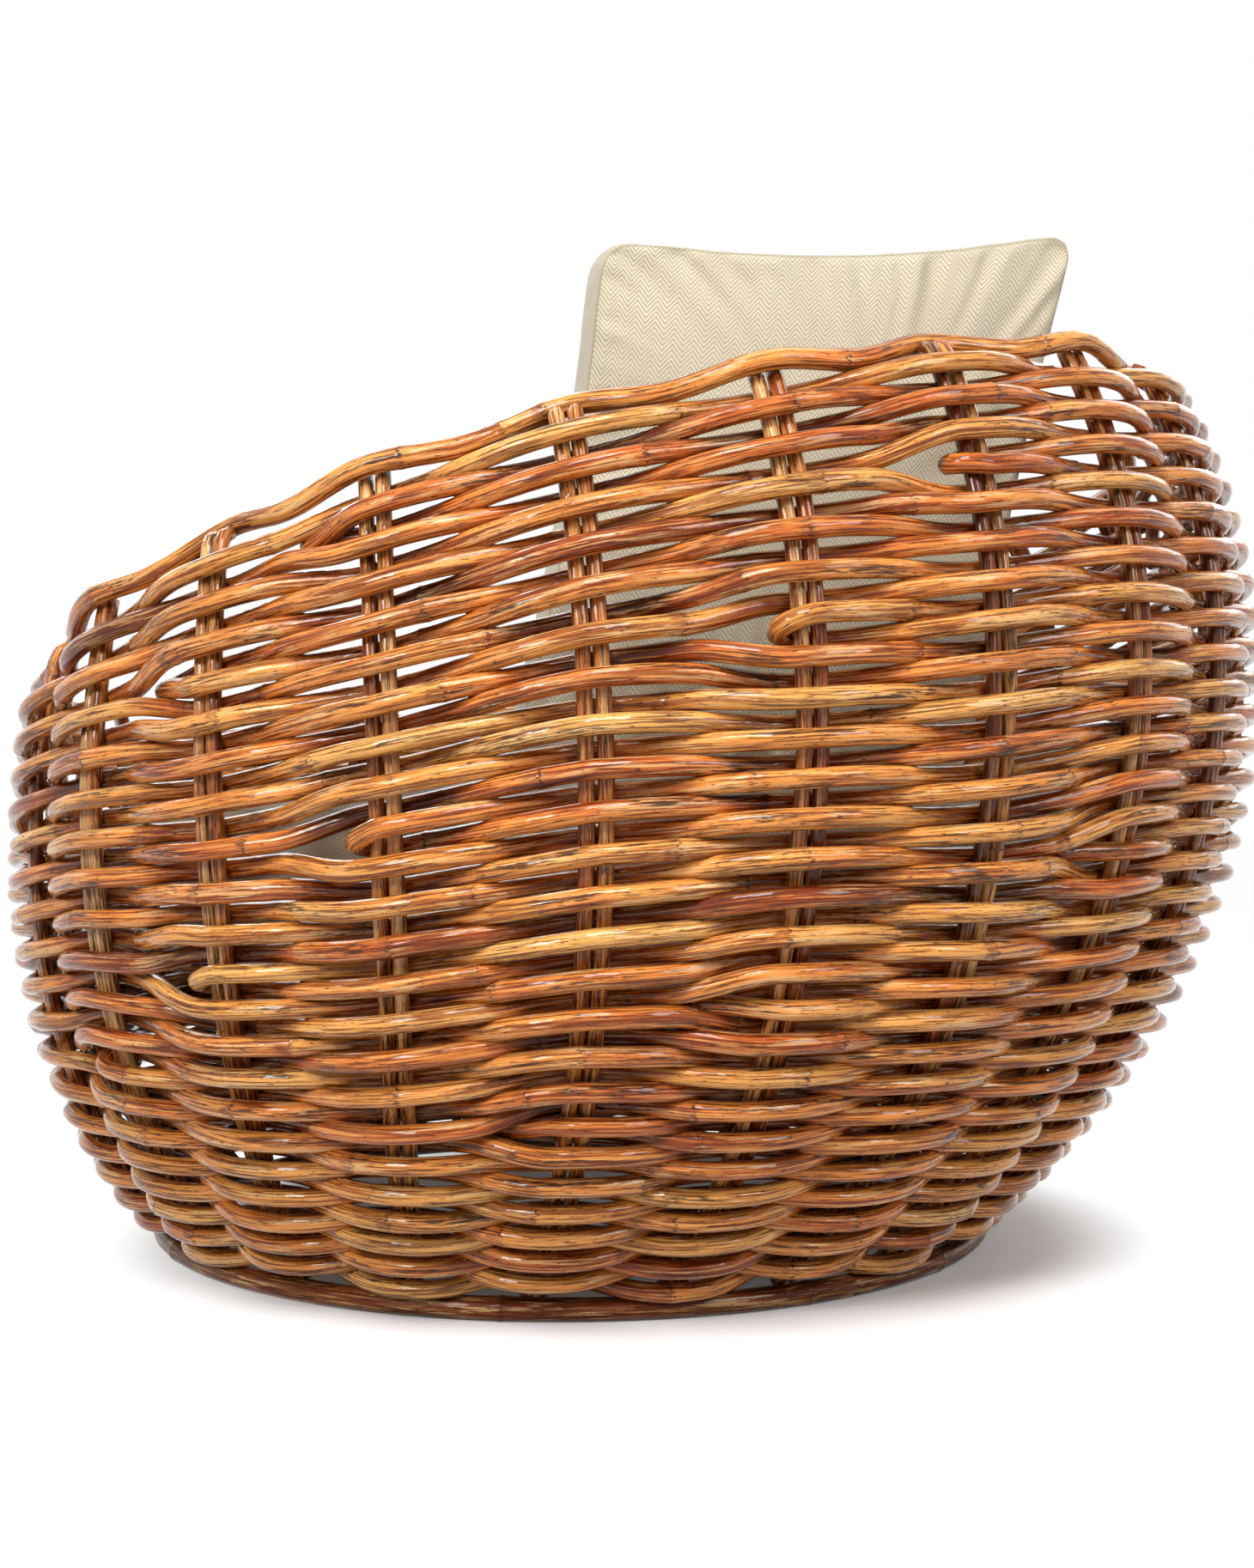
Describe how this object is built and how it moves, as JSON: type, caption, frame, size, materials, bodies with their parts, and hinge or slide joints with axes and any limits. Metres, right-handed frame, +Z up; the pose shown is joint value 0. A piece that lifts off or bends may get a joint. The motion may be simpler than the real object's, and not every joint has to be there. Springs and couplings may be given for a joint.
{
  "type": "woven rattan nest chair",
  "caption": "Low bowl-shaped nest chair of whole rattan cane woven round paired stakes, with a slanting rim, a foot hoop, a round seat cushion and a square back cushion.",
  "frame": {"origin": "middle of the footprint, on the floor under the foot hoop", "axes": "+Z up; +Y towards the high back; -Y towards the low front; +X to the right of someone standing in front and facing the chair"},
  "size_m": [1.1938, 1.1694, 0.9093],
  "materials": {
    "long_weaver_01": "varnished whole rattan cane",
    "long_weaver_02": "varnished whole rattan cane",
    "long_weaver_03": "varnished whole rattan cane",
    "long_weaver_04": "varnished whole rattan cane",
    "long_weaver_05": "varnished whole rattan cane",
    "long_weaver_06": "varnished whole rattan cane",
    "long_weaver_07": "varnished whole rattan cane",
    "long_weaver_08": "varnished whole rattan cane",
    "long_weaver_09": "varnished whole rattan cane",
    "long_weaver_10": "varnished whole rattan cane",
    "long_weaver_11": "varnished whole rattan cane",
    "long_weaver_12": "varnished whole rattan cane",
    "long_weaver_13": "varnished whole rattan cane",
    "long_weaver_14": "varnished whole rattan cane",
    "long_weaver_15": "varnished whole rattan cane",
    "long_weaver_16": "varnished whole rattan cane",
    "short_weaver_01": "varnished whole rattan cane",
    "short_weaver_02": "varnished whole rattan cane",
    "short_weaver_03": "varnished whole rattan cane",
    "short_weaver_04": "varnished whole rattan cane",
    "short_weaver_05": "varnished whole rattan cane",
    "short_weaver_06": "varnished whole rattan cane",
    "short_weaver_07": "varnished whole rattan cane",
    "short_weaver_08": "varnished whole rattan cane",
    "short_weaver_09": "varnished whole rattan cane",
    "short_weaver_10": "varnished whole rattan cane",
    "short_weaver_11": "varnished whole rattan cane",
    "short_weaver_12": "varnished whole rattan cane",
    "rim_border_strand": "varnished whole rattan cane",
    "stake_pair_01": "varnished whole rattan cane",
    "stake_pair_02": "varnished whole rattan cane",
    "stake_pair_03": "varnished whole rattan cane",
    "stake_pair_04": "varnished whole rattan cane",
    "stake_pair_05": "varnished whole rattan cane",
    "stake_pair_06": "varnished whole rattan cane",
    "stake_pair_07": "varnished whole rattan cane",
    "stake_pair_08": "varnished whole rattan cane",
    "stake_pair_09": "varnished whole rattan cane",
    "stake_pair_10": "varnished whole rattan cane",
    "stake_pair_11": "varnished whole rattan cane",
    "stake_pair_12": "varnished whole rattan cane",
    "stake_pair_13": "varnished whole rattan cane",
    "stake_pair_14": "varnished whole rattan cane",
    "stake_pair_15": "varnished whole rattan cane",
    "stake_pair_16": "varnished whole rattan cane",
    "stake_pair_17": "varnished whole rattan cane",
    "stake_pair_18": "varnished whole rattan cane",
    "stake_pair_19": "varnished whole rattan cane",
    "stake_pair_20": "varnished whole rattan cane",
    "stake_pair_21": "varnished whole rattan cane",
    "stake_pair_22": "varnished whole rattan cane",
    "stake_pair_23": "varnished whole rattan cane",
    "foot_hoop": "dark stained thick rattan pole",
    "seat_deck": "varnished rattan poles",
    "seat_cushion": "ivory herringbone cotton",
    "back_cushion": "ivory herringbone cotton"
  },
  "bodies": {
    "basket": {"long_weaver_01": "long_weaver_01", "long_weaver_02": "long_weaver_02", "long_weaver_03": "long_weaver_03", "long_weaver_04": "long_weaver_04", "long_weaver_05": "long_weaver_05", "long_weaver_06": "long_weaver_06", "long_weaver_07": "long_weaver_07", "long_weaver_08": "long_weaver_08", "long_weaver_09": "long_weaver_09", "long_weaver_10": "long_weaver_10", "long_weaver_11": "long_weaver_11", "long_weaver_12": "long_weaver_12", "long_weaver_13": "long_weaver_13", "long_weaver_14": "long_weaver_14", "long_weaver_15": "long_weaver_15", "long_weaver_16": "long_weaver_16", "short_weaver_01": "short_weaver_01", "short_weaver_02": "short_weaver_02", "short_weaver_03": "short_weaver_03", "short_weaver_04": "short_weaver_04", "short_weaver_05": "short_weaver_05", "short_weaver_06": "short_weaver_06", "short_weaver_07": "short_weaver_07", "short_weaver_08": "short_weaver_08", "short_weaver_09": "short_weaver_09", "short_weaver_10": "short_weaver_10", "short_weaver_11": "short_weaver_11", "short_weaver_12": "short_weaver_12", "rim_border_strand": "rim_border_strand", "stake_pair_01": "stake_pair_01", "stake_pair_02": "stake_pair_02", "stake_pair_03": "stake_pair_03", "stake_pair_04": "stake_pair_04", "stake_pair_05": "stake_pair_05", "stake_pair_06": "stake_pair_06", "stake_pair_07": "stake_pair_07", "stake_pair_08": "stake_pair_08", "stake_pair_09": "stake_pair_09", "stake_pair_10": "stake_pair_10", "stake_pair_11": "stake_pair_11", "stake_pair_12": "stake_pair_12", "stake_pair_13": "stake_pair_13", "stake_pair_14": "stake_pair_14", "stake_pair_15": "stake_pair_15", "stake_pair_16": "stake_pair_16", "stake_pair_17": "stake_pair_17", "stake_pair_18": "stake_pair_18", "stake_pair_19": "stake_pair_19", "stake_pair_20": "stake_pair_20", "stake_pair_21": "stake_pair_21", "stake_pair_22": "stake_pair_22", "stake_pair_23": "stake_pair_23", "foot_hoop": "foot_hoop", "seat_deck": "seat_deck"},
    "seat_cushion_body": {"seat_cushion": "seat_cushion"},
    "back_cushion_body": {"back_cushion": "back_cushion"}
  },
  "joints": [
    {"name": "seat_cushion_lift", "type": "slide", "parent": "basket", "child": "seat_cushion_body", "axis": [0, 0, 1], "range_m": [0, 0.55]},
    {"name": "back_cushion_lift", "type": "slide", "parent": "seat_cushion_body", "child": "back_cushion_body", "axis": [0, 0, 1], "range_m": [0, 0.45]}
  ]
}
